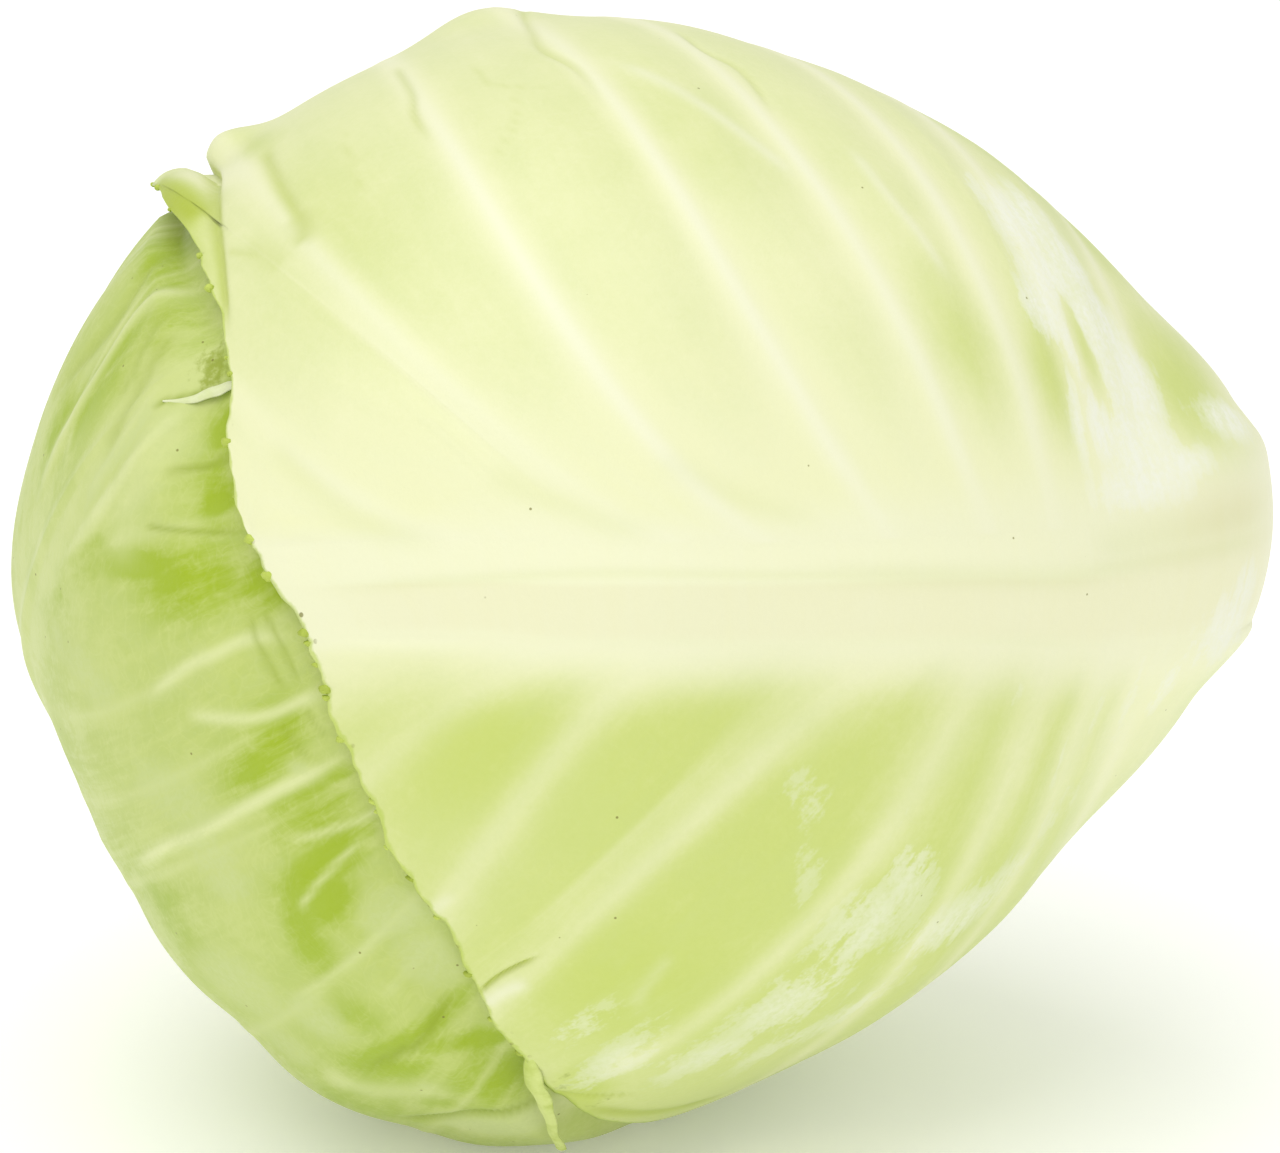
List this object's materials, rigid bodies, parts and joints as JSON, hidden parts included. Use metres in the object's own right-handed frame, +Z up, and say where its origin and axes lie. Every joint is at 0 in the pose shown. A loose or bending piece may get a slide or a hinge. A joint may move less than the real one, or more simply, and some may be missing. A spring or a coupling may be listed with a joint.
{
  "type": "cabbage head",
  "caption": "Head of white cabbage lying on its side, with overlapping ribbed wrapper leaves round a dense heart and a cut stem.",
  "frame": {"origin": "on the surface the head rests on, below the middle of its box", "axes": "+X along the head towards the stem end, +Z up, -Y out of the front, where the outermost leaf's midrib runs"},
  "size_m": [0.1808, 0.156, 0.1571],
  "materials": {
    "outer_leaf": "pale yellow-green leaf skin, waxy and satin, almost white along the midrib",
    "crown_leaf": "mid green leaf skin with a pale waxy bloom, satin",
    "inner_leaf": "light green leaf skin with a pale waxy bloom, satin",
    "heart": "cream-white packed inner leaves, moist and satin",
    "stem": "pale cream cut stem, fibrous and matt, browned at its rim"
  },
  "bodies": {
    "root": {"front_leaf": "outer_leaf", "back_leaf": "crown_leaf", "top_leaf": "inner_leaf", "heart": "heart", "stem": "stem"}
  },
  "joints": []
}
